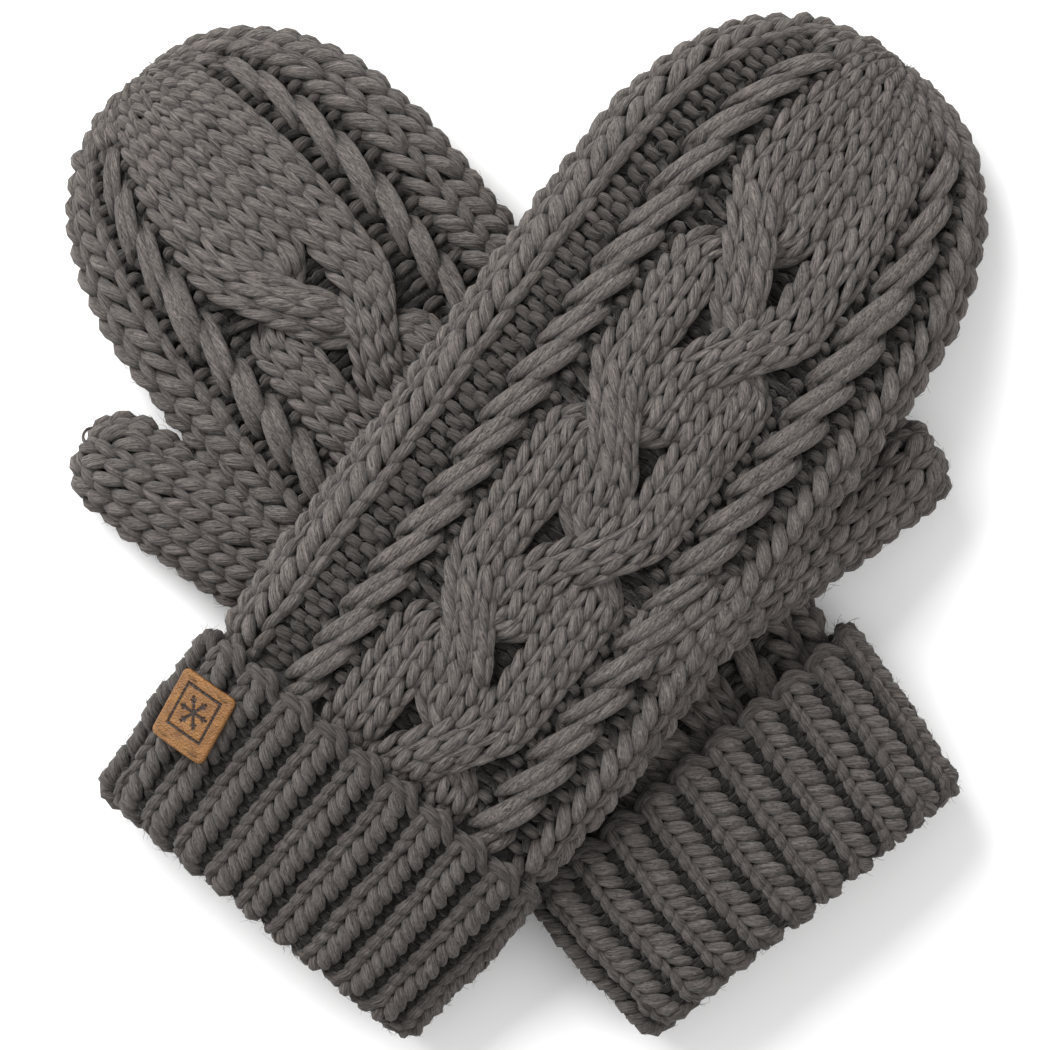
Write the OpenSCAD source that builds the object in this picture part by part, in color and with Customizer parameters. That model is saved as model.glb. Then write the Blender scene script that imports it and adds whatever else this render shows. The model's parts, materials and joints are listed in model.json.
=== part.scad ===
// A pair of chunky cable-knit mittens with turned-up ribbed cuffs and a soft lining.
// The right-hand mitten lies flat on the table and the left-hand mitten lies across it.
// The table top is z = 0. Each mitten is drawn in its own frame, with y running from the
// fold of the cuff to the fingertips and x across the hand, and is then turned into place.

/* [Hand] */
// Half width of the lower, right-hand mitten's hand
right_half_w = 50.8; // [46:0.2:56]
// Half width of the upper, left-hand mitten's hand
left_half_w = 54; // [48:0.2:58]
// Half thickness of a hand, knit and lining included
hand_half_t = 13.5; // [12:0.1:15]
// Distance from the fold of the cuff's line to the fingertips
hand_len = 272; // [255:1:285]
// Where the hand starts to round off towards the fingertips
tip_start = 201; // [190:1:215]
// Thickness of the knitted wall
knit_t = 5; // [4:0.1:5.5]
// Thickness of the fleece lining
lining_t = 2.2; // [1.5:0.1:2.6]
// Gap between the knitted wall and the lining
layer_gap = 0.4; // [0.3:0.1:0.6]

/* [Cuff] */
// Half width of the turned-up cuff at its free edge
cuff_half_w = 55; // [52:0.2:58]
// Half thickness of the turned-up cuff
cuff_half_t = 17.5; // [16.8:0.1:19]
// Height of the turned-up cuff above the fold's line
cuff_h = 44.6; // [38:0.2:45]
// Thickness of the turned-up layer
turnup_t = 5.6; // [4.5:0.1:6]
// Thickness of the ribbed wrist inside it
rib_t = 4.2; // [3.5:0.1:4.6]

/* [Thumb] */
// Distance from the thumb's pivot to the middle of its round tip
thumb_len = 80; // [70:1:86]
// Half width of the thumb at its root
thumb_root_r = 14.5; // [13:0.1:15]
// Half width of the thumb at its tip
thumb_tip_r = 13.2; // [12:0.1:14]
// Half thickness of the thumb
thumb_half_t = 10.2; // [9.5:0.1:10.4]
// Angle between the thumb and the hand at rest
thumb_yaw = 17; // [14:0.5:20]
// How far the lower mitten's thumb swings out
right_thumb_swing = 20; // [10:1:22]
// How far the upper mitten's thumb swings out
left_thumb_swing = 20; // [10:1:20]
// Room kept between a thumb and the hand that it swings in
thumb_gap = 0.7; // [0.5:0.1:1]

/* [Tag] */
// Width of the leather tag
tag_w = 17; // [14:0.5:20]
// Height of the leather tag
tag_h = 19.5; // [16:0.5:22]
// Thickness of the leather tag
tag_t = 1.5; // [1.2:0.1:2]

/* [Hidden] */

RIGHT = 0;
LEFT = 1;
yarn = "#5f5854";
rib_yarn = "#57514d";
fleece = "#8d8680";
leather = "#b0783c";
thread = "#5a3a20";

// Where each mitten's frame stands on the table, and how far it is turned.
base_xy = [[71.2, -94.8], [-69.4, -95.6]];
turn = [39, -39];
half_w = [right_half_w, left_half_w];
pivot = [[-44.1, 118], [35.4, 111.5]];
swing = [right_thumb_swing, left_thumb_swing];
outward = [1, -1];

// The lower mitten sinks this far into its flat underside.
flat_sink = 0.8;
// Height of the upper mitten's middle where it lies over the lower one, and at its two ends.
over_z = 41;
cuff_end_z = 17.8;
tip_end_z = 13.4;
// Heights of the thumbs' middles at the root and at the tip.
thumb_root_z = [11.2, 41.2];
thumb_tip_z = [10.6, 18];
// Stretches along the upper mitten where it climbs and falls.
climb = [0, 80];
fall = [165, 258];

// Where the hand starts, just past the cuff, and where the wrist has widened to full size.
wrist_y = 46;
full_y = 86;
// Shape of the outlines: 2 is an ellipse, and more is squarer.
hand_round = 2.6;
cuff_round = 2.8;
thumb_round = 2;
outline_round = 2.4;
ring_points = 36;
lining_points = 26;
lining_in = knit_t + layer_gap;
rib_in = turnup_t + layer_gap;
mouth_in = rib_in + rib_t;

function ease(t) = let (u = max(0, min(1, t))) u * u * (3 - 2 * u);
function mix(a, b, t) = a + (b - a) * t;
function signed_pow(v, p) = sign(v) * pow(abs(v), p);
function bulge(t, p) = pow(max(0, 1 - pow(max(0, min(1, t)), p)), 1 / p);

// Height of a mitten's middle surface, and sideways lean of its middle line, at y.
function mid_z(m, y) = m == RIGHT
    ? mix(cuff_half_t, hand_half_t, ease((y - 34) / 40)) - flat_sink
    : mix(mix(cuff_end_z, over_z, ease((y - climb[0]) / (climb[1] - climb[0]))), tip_end_z,
          ease((y - fall[0]) / (fall[1] - fall[0])));
function lean(m, y) = m == RIGHT
    ? mix(-2.6, 0, ease((y - 20) / 60))
    : mix(2.4, -4.4, ease((y - 60) / 200));

// Heights that every layer of the hand, and every layer of the wrist, has its stations at.
hand_rows = [for (i = [0:6]) mix(wrist_y, tip_start, i / 7)];
wrist_rows = [7, 17, 27, 37];

// A station is [x, y, z, half width, half thickness].
function station(m, y, w, h) = [lean(m, y), y, mid_z(m, y), w, h];

// Outer size of the hand at y, drawn in by a wall of thickness d.
function wrist_grow(y) = ease((y - wrist_y) / (full_y - wrist_y));
function hand_w(m, y, d) = (half_w[m] * mix(0.985, 1, wrist_grow(y)) - d)
    * bulge((y - tip_start) / (hand_len - tip_start - d), outline_round);
function hand_t(y, d) = (hand_half_t * mix(0.93, 1, wrist_grow(y)) - d)
    * bulge((y - tip_start - 8) / (hand_len - tip_start - 8 - d), outline_round);
function hand_stations(m, d) = concat(
    [for (y = hand_rows) station(m, y, hand_w(m, y, d), hand_t(y, d))],
    [for (u = [0:9:81]) let (y = tip_start + (hand_len - tip_start - d) * sin(u))
        station(m, y, hand_w(m, y, d), hand_t(y, d))],
    [station(m, hand_len - d - 0.15, 5, 1.1)]);

// Size of the turned-up cuff at y, drawn in by d.
function cuff_w(y, d) = cuff_half_w * mix(0.955, 1, ease(y / 30)) - d;
function cuff_station(m, y, d) = station(m, y, cuff_w(y, d), cuff_half_t - d);

// The lining stops short of the fingertips, which leaves room for the gathered yarn end.
lining_short = 9;
lining_end = hand_len - lining_in - lining_short;
tip_slack = 0.7;

// Size of the lining at y: narrow inside the wrist, and wide inside the hand.
function lining_w(m, y, d) = mix(cuff_w(y, mouth_in + layer_gap + d), hand_w(m, y, lining_in + d),
                                 ease((y - wrist_y) / 24));
function lining_h(y, d) = mix(cuff_half_t - mouth_in - layer_gap - d, hand_t(y, lining_in + d),
                              ease((y - wrist_y) / 24));
function lining_cap(y, d) = bulge((y - tip_start) / (lining_end - tip_start - d), outline_round);
function lining_stations(m, d) = concat(
    [for (y = concat([0.9], wrist_rows, hand_rows)) station(m, y, lining_w(m, y, d), lining_h(y, d))],
    [for (u = [12:12:72]) let (y = tip_start + (lining_end - tip_start - d) * sin(u), cap = lining_cap(y, d))
        station(m, y, (half_w[m] - lining_in - d - tip_slack) * cap,
                (hand_half_t - lining_in - d - tip_slack) * cap)],
    [station(m, lining_end - d - 0.5, 6, 0.8)]);

// Stations of a thumb, from its open root to its round tip, drawn in by d.
function thumb_z(m, y) = mix(thumb_root_z[m], thumb_tip_z[m], pow(max(0, y / thumb_len), 2));
function thumb_w(y, d) = mix(thumb_root_r, thumb_tip_r, y / thumb_len) - d;
function thumb_stations(m, y0, d, tip_push = 1) = concat(
    [for (i = [0:4]) let (y = mix(y0, thumb_len, i / 5))
        [0, y, thumb_z(m, y), thumb_w(y, d), thumb_half_t - d]],
    [for (u = [0:15:75]) [0, thumb_len + (thumb_tip_r - d) * sin(u) * tip_push, thumb_z(m, thumb_len),
                          (thumb_tip_r - d) * cos(u), (thumb_half_t - d) * cos(u)]]);

function ring(s, power, low, k) = [for (j = [0:k - 1]) let (a = 360 * j / k)
    [s[0] + s[3] * signed_pow(cos(a), 2 / power), s[1],
     max(low, s[2] + s[4] * signed_pow(sin(a), 2 / power))]];
function backwards(list) = [for (i = [len(list) - 1:-1:0]) list[i]];

// Skin over a run of stations. A looped run joins its end to its start. Any other run is
// closed by a point at each end.
module loft(stations, power, k, looped = false, low = -1000) {
    n = len(stations);
    points = concat([for (s = stations) each ring(s, power, low, k)],
                    looped ? [] : [[stations[0][0], stations[0][1], stations[0][2]],
                                   [stations[n - 1][0], stations[n - 1][1], stations[n - 1][2]]]);
    sides = [for (i = [0:(looped ? n - 1 : n - 2)], j = [0:k - 1])
        let (p = i * k + j, q = i * k + (j + 1) % k,
             r = ((i + 1) % n) * k + (j + 1) % k, s = ((i + 1) % n) * k + j)
        each [[p, q, r], [p, r, s]]];
    caps = looped ? [] : [for (j = [0:k - 1])
        each [[(j + 1) % k, j, n * k], [(n - 1) * k + j, (n - 1) * k + (j + 1) % k, n * k + 1]]];
    polyhedron(points = points, faces = concat(sides, caps), convexity = 8);
}

// A sock-shaped wall between an inner and an outer run of stations.
module sock(inner, outer, power, k, low = -1000) {
    loft(concat(backwards(inner), outer), power, k, low = low);
}

module place(m) {
    translate([base_xy[m][0], base_xy[m][1], 0]) rotate([0, 0, turn[m]]) children();
}

module place_thumb(m, swing_out = 0) {
    translate([pivot[m][0], pivot[m][1], 0])
        rotate([0, 0, outward[m] * (thumb_yaw + swing_out)])
            children();
}

// An egg around the thumb at one place, with flats that stay outside the true round.
module thumb_egg(z, r) {
    sides = 12;
    grow = 1 / cos(180 / sides);
    translate([0, 0, z])
        scale([1, 1, (thumb_half_t + thumb_gap) / (r + thumb_gap)])
            sphere(r = (r + thumb_gap) * grow, $fn = sides);
}
module thumb_at(m, swing_out) {
    place_thumb(m, swing_out) {
        for (part = [0, 0.3, 0.65, 1])
            translate([0, part * thumb_len, 0])
                thumb_egg(thumb_z(m, part * thumb_len), thumb_w(part * thumb_len, 0));
    }
}
// Everything that a thumb passes through as it swings, with its clearance.
module thumb_sweep(m) {
    steps = 8;
    for (i = [0:steps - 1])
        hull() {
            thumb_at(m, swing[m] * i / steps);
            thumb_at(m, swing[m] * (i + 1) / steps);
        }
}

// Knitted hand: a closed bag with an oval mouth at the wrist and a hole for the thumb.
module hand_knit(m) {
    color(yarn) place(m) difference() {
        sock(hand_stations(m, knit_t), hand_stations(m, 0), hand_round,
             ring_points, m == RIGHT ? 0 : -1000);
        thumb_sweep(m);
    }
}

// Ribbed wrist: the stretch of the tube that the turned-up cuff hides.
module wrist_rib(m) {
    rows = concat([0.9], wrist_rows, [wrist_y - 0.3]);
    color(rib_yarn) place(m)
        loft(concat([for (y = rows) cuff_station(m, y, rib_in)],
                    [for (y = backwards(rows)) cuff_station(m, y, mouth_in)]),
             cuff_round, ring_points, looped = true);
}

// Turned-up cuff: the outer ribbed layer, with the fold that carries the wrist's lower end.
module turned_cuff(m) {
    fold = [[0, 0.3], [-3.6, 2.4], [-5, 5.2], [-3.6, 8.2], [0.4, mouth_in], [0.5, rib_in]];
    brim = [[cuff_h - 3.6, turnup_t], [cuff_h - 1, turnup_t - 1], [cuff_h, turnup_t / 2], [cuff_h - 1, 1],
            [cuff_h - 3.6, 0]];
    color(rib_yarn) place(m)
        loft(concat([for (p = backwards(fold)) cuff_station(m, p[0], p[1])],
                    [for (y = wrist_rows) cuff_station(m, y, 0)],
                    [for (p = backwards(brim)) cuff_station(m, p[0], p[1])],
                    [for (y = backwards(wrist_rows)) cuff_station(m, y, turnup_t)]),
             cuff_round, ring_points, looped = true, low = m == RIGHT ? 0 : -1000);
}

// Fleece bag inside the hand and the wrist.
module hand_lining(m) {
    color(fleece) place(m) difference() {
        sock(lining_stations(m, lining_t), lining_stations(m, 0), hand_round, lining_points);
        thumb_sweep(m);
    }
}

// Rolled hem that holds the lining's edge to the fold of the cuff.
module lining_hem(m) {
    roll = 1.1;
    color(fleece) place(m)
        loft([for (u = [0:60:300]) cuff_station(m, -1.4 + roll * cos(u),
                                                mouth_in + layer_gap + roll + 0.2 + roll * sin(u))],
             cuff_round, lining_points, looped = true);
}

// Yarn end drawn through the last loops at the fingertips.
module tip_gather(m) {
    color(yarn) place(m)
        translate([lean(m, hand_len), hand_len - knit_t - 4.6, mid_z(m, hand_len)])
            for (loop = [0:2]) translate([6.4 * (loop - 1), 0, 0])
                rotate_extrude($fn = 36) translate([2, 0]) circle(r = 1.1, $fn = 16);
}

// Knitted thumb: a tube that is open at the root and round at the tip.
module thumb_knit(m) {
    color(yarn) place(m) place_thumb(m)
        sock(thumb_stations(m, -3, knit_t - 0.6), thumb_stations(m, -3, 0), thumb_round, 26);
}

// Fleece tube inside the thumb.
module thumb_lining(m) {
    wall_in = knit_t - 0.6 + layer_gap;
    color(fleece) place(m) place_thumb(m)
        sock(thumb_stations(m, -2, wall_in + lining_t - 0.4, 0.4), thumb_stations(m, -2, wall_in, 0.5),
             thumb_round, 20);
}

// Yarn end drawn through the last loops at the tip of the thumb.
module thumb_gather(m) {
    color(yarn) place(m) place_thumb(m)
        translate([0, thumb_len + thumb_tip_r - knit_t - 1.6, thumb_tip_z[m]])
            rotate_extrude($fn = 32) translate([1, 0]) circle(r = 0.6, $fn = 14);
}

// The tag lies on the shoulder of the upper mitten's cuff.
module on_tag() {
    place(LEFT) translate([-41, 26.6, mid_z(LEFT, 26.6) + 15])
        rotate([16, -19, 0]) rotate([0, 0, 10]) children();
}
module leather_tag() {
    corner = 1.6;
    color(leather) on_tag()
        linear_extrude(height = tag_t)
            union() {
                square([tag_w - 2 * corner, tag_h], center = true);
                square([tag_w, tag_h - 2 * corner], center = true);
                for (x = [-1, 1], y = [-1, 1])
                    translate([x * (tag_w / 2 - corner), y * (tag_h / 2 - corner)]) circle(r = corner, $fn = 24);
            }
}
module tag_stitches() {
    stitch_r = 0.45;
    color(thread) on_tag()
        for (x = [-5, 5], y = [-8.2, 8.2])
            translate([x, y, tag_t + stitch_r])
                rotate([0, 90, 0]) cylinder(r = stitch_r, h = 3, center = true, $fn = 16);
}

hand_knit(RIGHT);  // right_hand_knit
wrist_rib(RIGHT);  // right_wrist_rib
turned_cuff(RIGHT);  // right_turned_cuff
hand_lining(RIGHT);  // right_hand_lining
lining_hem(RIGHT);  // right_lining_hem
tip_gather(RIGHT);  // right_tip_gather
thumb_knit(RIGHT);  // right_thumb_knit
thumb_lining(RIGHT);  // right_thumb_lining
thumb_gather(RIGHT);  // right_thumb_gather
hand_knit(LEFT);  // left_hand_knit
wrist_rib(LEFT);  // left_wrist_rib
turned_cuff(LEFT);  // left_turned_cuff
hand_lining(LEFT);  // left_hand_lining
lining_hem(LEFT);  // left_lining_hem
tip_gather(LEFT);  // left_tip_gather
thumb_knit(LEFT);  // left_thumb_knit
thumb_lining(LEFT);  // left_thumb_lining
thumb_gather(LEFT);  // left_thumb_gather
leather_tag();
tag_stitches();
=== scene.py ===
import json
import math

import bpy
import numpy as np
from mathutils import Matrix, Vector

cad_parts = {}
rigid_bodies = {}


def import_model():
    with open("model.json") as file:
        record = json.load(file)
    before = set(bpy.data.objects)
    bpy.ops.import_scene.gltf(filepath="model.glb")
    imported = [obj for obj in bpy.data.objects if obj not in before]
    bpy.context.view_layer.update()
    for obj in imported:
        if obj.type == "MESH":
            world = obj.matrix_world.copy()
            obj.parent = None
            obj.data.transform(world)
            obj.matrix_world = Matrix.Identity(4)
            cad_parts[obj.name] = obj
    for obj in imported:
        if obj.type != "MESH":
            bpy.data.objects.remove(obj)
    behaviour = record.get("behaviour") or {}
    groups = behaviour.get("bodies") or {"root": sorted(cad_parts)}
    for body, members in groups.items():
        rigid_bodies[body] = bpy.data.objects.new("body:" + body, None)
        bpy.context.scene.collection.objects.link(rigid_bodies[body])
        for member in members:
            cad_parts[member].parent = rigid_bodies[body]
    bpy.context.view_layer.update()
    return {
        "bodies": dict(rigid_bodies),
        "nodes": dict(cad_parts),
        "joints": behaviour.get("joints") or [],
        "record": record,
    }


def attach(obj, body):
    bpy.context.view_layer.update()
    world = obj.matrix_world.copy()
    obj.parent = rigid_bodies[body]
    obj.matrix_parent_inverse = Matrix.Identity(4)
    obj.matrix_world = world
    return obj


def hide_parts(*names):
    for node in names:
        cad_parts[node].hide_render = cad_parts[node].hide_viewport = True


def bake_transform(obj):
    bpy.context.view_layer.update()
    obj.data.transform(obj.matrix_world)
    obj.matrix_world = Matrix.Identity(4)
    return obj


# A pair of chunky cable-knit mittens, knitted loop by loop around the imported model.
# Lengths are millimetres until a mesh is made. Each mitten is knitted in its own frame,
# with y from the fold of the cuff to the fingertips, and is then turned into place.

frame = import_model()
random = np.random.default_rng(20)

MM = 0.001
RIGHT, LEFT = "right", "left"

# The knitted surfaces repeat the sizes and formulas of the CAD model.
HALF_W = {RIGHT: 50.8, LEFT: 54.0}
HAND_HALF_T = 13.5
HAND_LEN = 272.0
TIP_START = 201.0
WRIST_Y, FULL_Y = 46.0, 86.0
CUFF_HALF_W, CUFF_HALF_T, CUFF_H = 55.0, 17.5, 44.6
TURNUP_T = 5.6
MOUTH_IN = 10.2
LINING_IN, LINING_T = 5.4, 2.2
THUMB_LEN, THUMB_ROOT_R, THUMB_TIP_R, THUMB_HALF_T = 80.0, 14.5, 13.2, 10.2
THUMB_YAW = 17.0
BASE_XY = {RIGHT: (71.2, -94.8), LEFT: (-69.4, -95.6)}
TURN = {RIGHT: 39.0, LEFT: -39.0}
PIVOT = {RIGHT: (-44.1, 118.0), LEFT: (35.4, 111.5)}
OUTWARD = {RIGHT: 1.0, LEFT: -1.0}
THUMB_ROOT_Z = {RIGHT: 11.2, LEFT: 41.2}
THUMB_TIP_Z = {RIGHT: 10.6, LEFT: 18.0}
HAND_ROUND, CUFF_ROUND, OUTLINE_ROUND, THUMB_ROUND = 2.6, 2.8, 2.4, 2.0
# The lower mitten is flattened by the table.
FLOOR = {RIGHT: 0.0, LEFT: -1e9}

# The yarn, and the usual stitch: its width, its height, and how far its loop goes in and out.
YARN_R = 1.50
STITCH_W = 6.2
ROW_H = 6.0
LOOP_DEPTH = 1.7
# The middle of the yarn lies this far under the surface of the CAD model.
YARN_SUNK = 2.9
SIDES = 8
LOOP_SAMPLES = 20
# A radian of bend gets as many rings as this length of straight yarn.
BEND_WEIGHT = 1.6
# How much painted shade darkens the flanks of a yarn compared with its crown.
FLANK_SHADE = 0.38


# -------- small maths

def ease(t):
    t = np.clip(t, 0.0, 1.0)
    return t * t * (3 - 2 * t)


def mix(a, b, t):
    return a + (b - a) * t


def signed_pow(v, p):
    return np.sign(v) * np.abs(v) ** p


def bulge(t, p):
    return np.maximum(0.0, 1 - np.clip(t, 0.0, 1.0) ** p) ** (1 / p)


def unit(v):
    return v / np.maximum(np.linalg.norm(v, axis=-1, keepdims=True), 1e-9)


def square_to(v, axis):
    """The direction of the part of v that is at right angles to axis, which has length 1."""
    return unit(v - axis * np.sum(v * axis, -1, keepdims=True))


def mirrored(v, axis):
    """v reflected in the plane that axis stands on."""
    size = np.maximum(np.sum(axis * axis, -1, keepdims=True), 1e-12)
    return v - 2 / size * np.sum(axis * v, -1, keepdims=True) * axis


def tube_faces(index, closed):
    """Quads over rings of vertex numbers. The rings follow each other along the second last axis."""
    around = np.roll(index, -1, axis=-1)
    quads = np.stack([index, around, np.roll(around, -1, axis=-2), np.roll(index, -1, axis=-2)], axis=-1)
    return (quads if closed else quads[..., :-1, :, :]).reshape(-1, 4)


# -------- shape of a mitten

def mid_z(m, y):
    if m == RIGHT:
        return mix(CUFF_HALF_T, HAND_HALF_T, ease((y - 34) / 40)) - 0.8
    return mix(mix(17.8, 41.0, ease(y / 80)), 13.4, ease((y - 165) / 93))


def lean(m, y):
    if m == RIGHT:
        return mix(-2.6, 0.0, ease((y - 20) / 60))
    return mix(2.4, -4.4, ease((y - 60) / 200))


def grown(y):
    """How far the hand has widened from the wrist, from 0 to 1."""
    return ease((y - WRIST_Y) / (FULL_Y - WRIST_Y))


def hand_w(m, y):
    tip = bulge((y - TIP_START) / (HAND_LEN - TIP_START), OUTLINE_ROUND)
    return HALF_W[m] * mix(0.985, 1, grown(y)) * tip


def hand_t(y):
    start = TIP_START + 8
    return HAND_HALF_T * mix(0.93, 1, grown(y)) * bulge((y - start) / (HAND_LEN - start), OUTLINE_ROUND)


def cuff_w(y, d):
    return CUFF_HALF_W * mix(0.955, 1, ease(y / 30)) - d


def turned(p, degrees, i=0, j=1):
    """Points turned about a main axis, so that axis i moves towards axis j."""
    c, s = math.cos(math.radians(degrees)), math.sin(math.radians(degrees))
    q = p.copy()
    q[..., i] = p[..., i] * c - p[..., j] * s
    q[..., j] = p[..., i] * s + p[..., j] * c
    return q


def place(m, p):
    """Points of a mitten's own frame, on the table."""
    return turned(p, TURN[m]) + np.array([*BASE_XY[m], 0.0])


def unplace(m, p):
    """Points on the table, in a mitten's own frame."""
    return turned(p - np.array([*BASE_XY[m], 0.0]), -TURN[m])


def place_thumb(m, p):
    """Points of a thumb's own frame, which has y along the thumb, on the table."""
    return place(m, turned(p, OUTWARD[m] * THUMB_YAW) + np.array([*PIVOT[m], 0.0]))


class Skin:
    """A tube's surface. u runs once around it from the left edge over the back, v along it."""

    AROUND = 400

    def __init__(self, m, centre_x, y, centre_z, w, h, power, put=place, floor=-1e9):
        turn = np.linspace(0, 2 * math.pi, 4 * self.AROUND + 1)
        x = centre_x[:, None] - w[:, None] * signed_pow(np.cos(turn), 2 / power)
        z = np.maximum(floor, centre_z[:, None] + h[:, None] * signed_pow(np.sin(turn), 2 / power))
        step = np.hypot(np.diff(x, axis=1), np.diff(z, axis=1))
        along = np.concatenate([np.zeros((len(y), 1)), np.cumsum(step, axis=1)], axis=1)
        self.perimeter = along[:, -1]
        ring = np.empty((len(y), self.AROUND, 3))
        for i in range(len(y)):
            at = np.arange(self.AROUND) / self.AROUND * along[i, -1]
            t = np.interp(at, along[i], turn)
            ring[i, :, 0] = np.interp(t, turn, x[i])
            ring[i, :, 2] = np.interp(t, turn, z[i])
        ring[:, :, 1] = y[:, None]
        self.points = put(m, ring)
        across = np.roll(self.points, -2, axis=1) - np.roll(self.points, 2, axis=1)
        up = np.gradient(self.points, axis=0)
        self.normals = unit(np.cross(across, up))

    def _grid(self, values, u, v):
        n = len(values)
        fu = (u % 1.0) * self.AROUND
        fv = np.clip(v, 0, 1) * (n - 1)
        i0 = np.floor(fu).astype(int) % self.AROUND
        i1 = (i0 + 1) % self.AROUND
        j0 = np.minimum(np.floor(fv).astype(int), n - 2)
        a, b = (fu % 1.0)[..., None], (fv - j0)[..., None]
        low, high = (values[j, i0] * (1 - a) + values[j, i1] * a for j in (j0, j0 + 1))
        return low * (1 - b) + high * b

    def at(self, u, v):
        return self._grid(self.points, u, v), unit(self._grid(self.normals, u, v))

    def around(self, v):
        return np.interp(v, np.linspace(0, 1, len(self.perimeter)), self.perimeter)


# -------- loops of yarn

# Points of one knitted loop: across the stitch, up the row, out of the fabric and relative
# thickness. The left leg is fat and leans, and the right leg is thin and steep.
KNIT_LOOP = [(0.0, -0.76, -1.2, 0.8), (0.36, -0.7, -1.0, 0.8), (0.58, -0.5, -0.1, 0.84),
             (0.5, -0.16, 0.9, 1.06), (0.33, 0.22, 1.2, 1.2), (0.16, 0.56, 0.75, 1.04),
             (0.07, 0.84, -0.3, 0.84), (0.26, 1.04, -1.1, 0.78), (0.5, 1.08, -1.25, 0.78),
             (0.74, 1.04, -1.1, 0.78), (0.9, 0.84, -0.1, 0.86), (0.92, 0.54, 0.5, 0.96),
             (0.88, 0.2, 0.85, 1.02), (0.83, -0.14, 0.65, 0.98), (0.78, -0.46, 0.1, 0.88),
             (0.82, -0.7, -0.9, 0.8)]
# A purled loop is the same loop seen from behind: its arcs lie in front, as short bars.
PURL_LOOP = [(0.0, -0.46, 0.9, 1.06), (0.24, -0.48, 0.85, 1.06), (0.44, -0.4, 0.3, 0.96),
             (0.46, -0.1, -0.7, 0.88), (0.3, 0.34, -0.9, 0.86), (0.08, 0.74, -0.5, 0.88),
             (0.04, 0.96, 0.3, 0.98), (0.22, 1.04, 0.9, 1.1), (0.5, 1.06, 1.05, 1.14),
             (0.78, 1.04, 0.9, 1.1), (0.96, 0.96, 0.3, 0.98), (0.92, 0.74, -0.5, 0.88),
             (0.7, 0.34, -0.9, 0.86), (0.54, -0.1, -0.7, 0.88), (0.56, -0.4, 0.3, 0.96),
             (0.76, -0.48, 0.85, 1.06)]
# The long loop that is pulled across a twisted rope.
ROPE_LOOP = [(0.0, -0.7, -1.2, 0.8), (0.08, -1.35, -1.4, 0.8), (0.18, -1.62, -0.8, 0.84),
             (0.22, -1.1, 0.3, 1.16), (0.24, -0.2, 1.0, 1.52), (0.22, 0.65, 0.9, 1.36),
             (0.22, 1.3, 0.0, 0.96), (0.34, 1.6, -1.0, 0.84), (0.5, 1.66, -1.2, 0.82),
             (0.68, 1.6, -1.0, 0.84), (0.8, 1.2, 0.1, 1.06), (0.82, 0.45, 0.9, 1.44),
             (0.8, -0.35, 0.9, 1.42), (0.8, -1.05, 0.2, 1.06), (0.84, -1.5, -0.8, 0.84),
             (0.94, -1.2, -1.4, 0.8)]


def spline_loop(points, samples):
    """Evenly spaced samples of a smooth curve through one loop, up to where the next loop starts."""
    p = np.array(points)
    stitch = np.array([1.0, 0, 0, 0])
    ahead, behind = p + stitch, p - stitch
    q = np.concatenate([behind[-2:], p, ahead[:3]])
    dense = []
    for i in range(2, 2 + len(p)):
        t = np.linspace(0, 1, 12, endpoint=False)[:, None]
        a, b, c, d = q[i - 1], q[i], q[i + 1], q[i + 2]
        dense.append(0.5 * (2 * b + (c - a) * t + (2 * a - 5 * b + 4 * c - d) * t ** 2
                            + (3 * b - a - 3 * c + d) * t ** 3))
    dense = np.concatenate(dense + [ahead[:1]])
    size = np.array([STITCH_W, ROW_H, LOOP_DEPTH])
    step = np.diff(dense[:, :3], axis=0) * size
    heading = unit(step)
    bend = np.arccos(np.clip(np.sum(heading * np.roll(heading, 1, axis=0), axis=1), -1, 1))
    reach = np.concatenate([[0], np.cumsum(np.linalg.norm(step, axis=1) + BEND_WEIGHT * bend)])
    at = np.arange(samples) / samples * reach[-1]
    return np.stack([np.interp(at, reach, dense[:, k]) for k in range(4)], axis=1)


def loop_table(samples, mirror_x=False):
    table = np.stack([spline_loop(points, samples) for points in (KNIT_LOOP, PURL_LOOP, ROPE_LOOP)])
    if mirror_x:
        table = np.roll(table[:, ::-1], 1, axis=1)
        table[:, 1:, 0] = 1 - table[:, 1:, 0]
    return table


KNIT, PURL, ROPE = 0, 1, 2

# How far strands stand out of the fabric: the plait as a whole, the middle of each of its
# strands, a strand that crosses in front or behind, and the parts of a twisted rope.
PLAIT_LIFT, PLAIT_CROWN, PLAIT_FRONT, PLAIT_BACK, PLAIT_EDGE = 0.9, 0.9, 2.6, 1.4, 1.2
ROPE_FRONT, ROPE_REST, ROPE_BACK = 0.7, -1.2, -1.2
# A long loop moves this much of a column sideways for each row that it climbs.
ROPE_LEAN = 0.42
PURL_SUNK = -1.3
# Painted shade on purled loops, which lie sunk in the gutters.
PURL_SHADE = 0.16
# The share of a loop at each of its ends where it bends to meet its neighbour, and how far
# out of the fabric the ends of a purled and of a knitted loop lie.
JOIN, PURL_END, KNIT_END = 0.14, 0.9, -1.0
# How uneven the stitches are: across and up, in shares of a stitch, in thickness, and in and out.
UNEVEN_X, UNEVEN_Y, UNEVEN_R, UNEVEN_OUT = 0.04, 0.05, 0.08, 0.2
# The share of a strand's outer loops that slopes down to the edge of the strand.
SLOPE = 0.45


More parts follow.
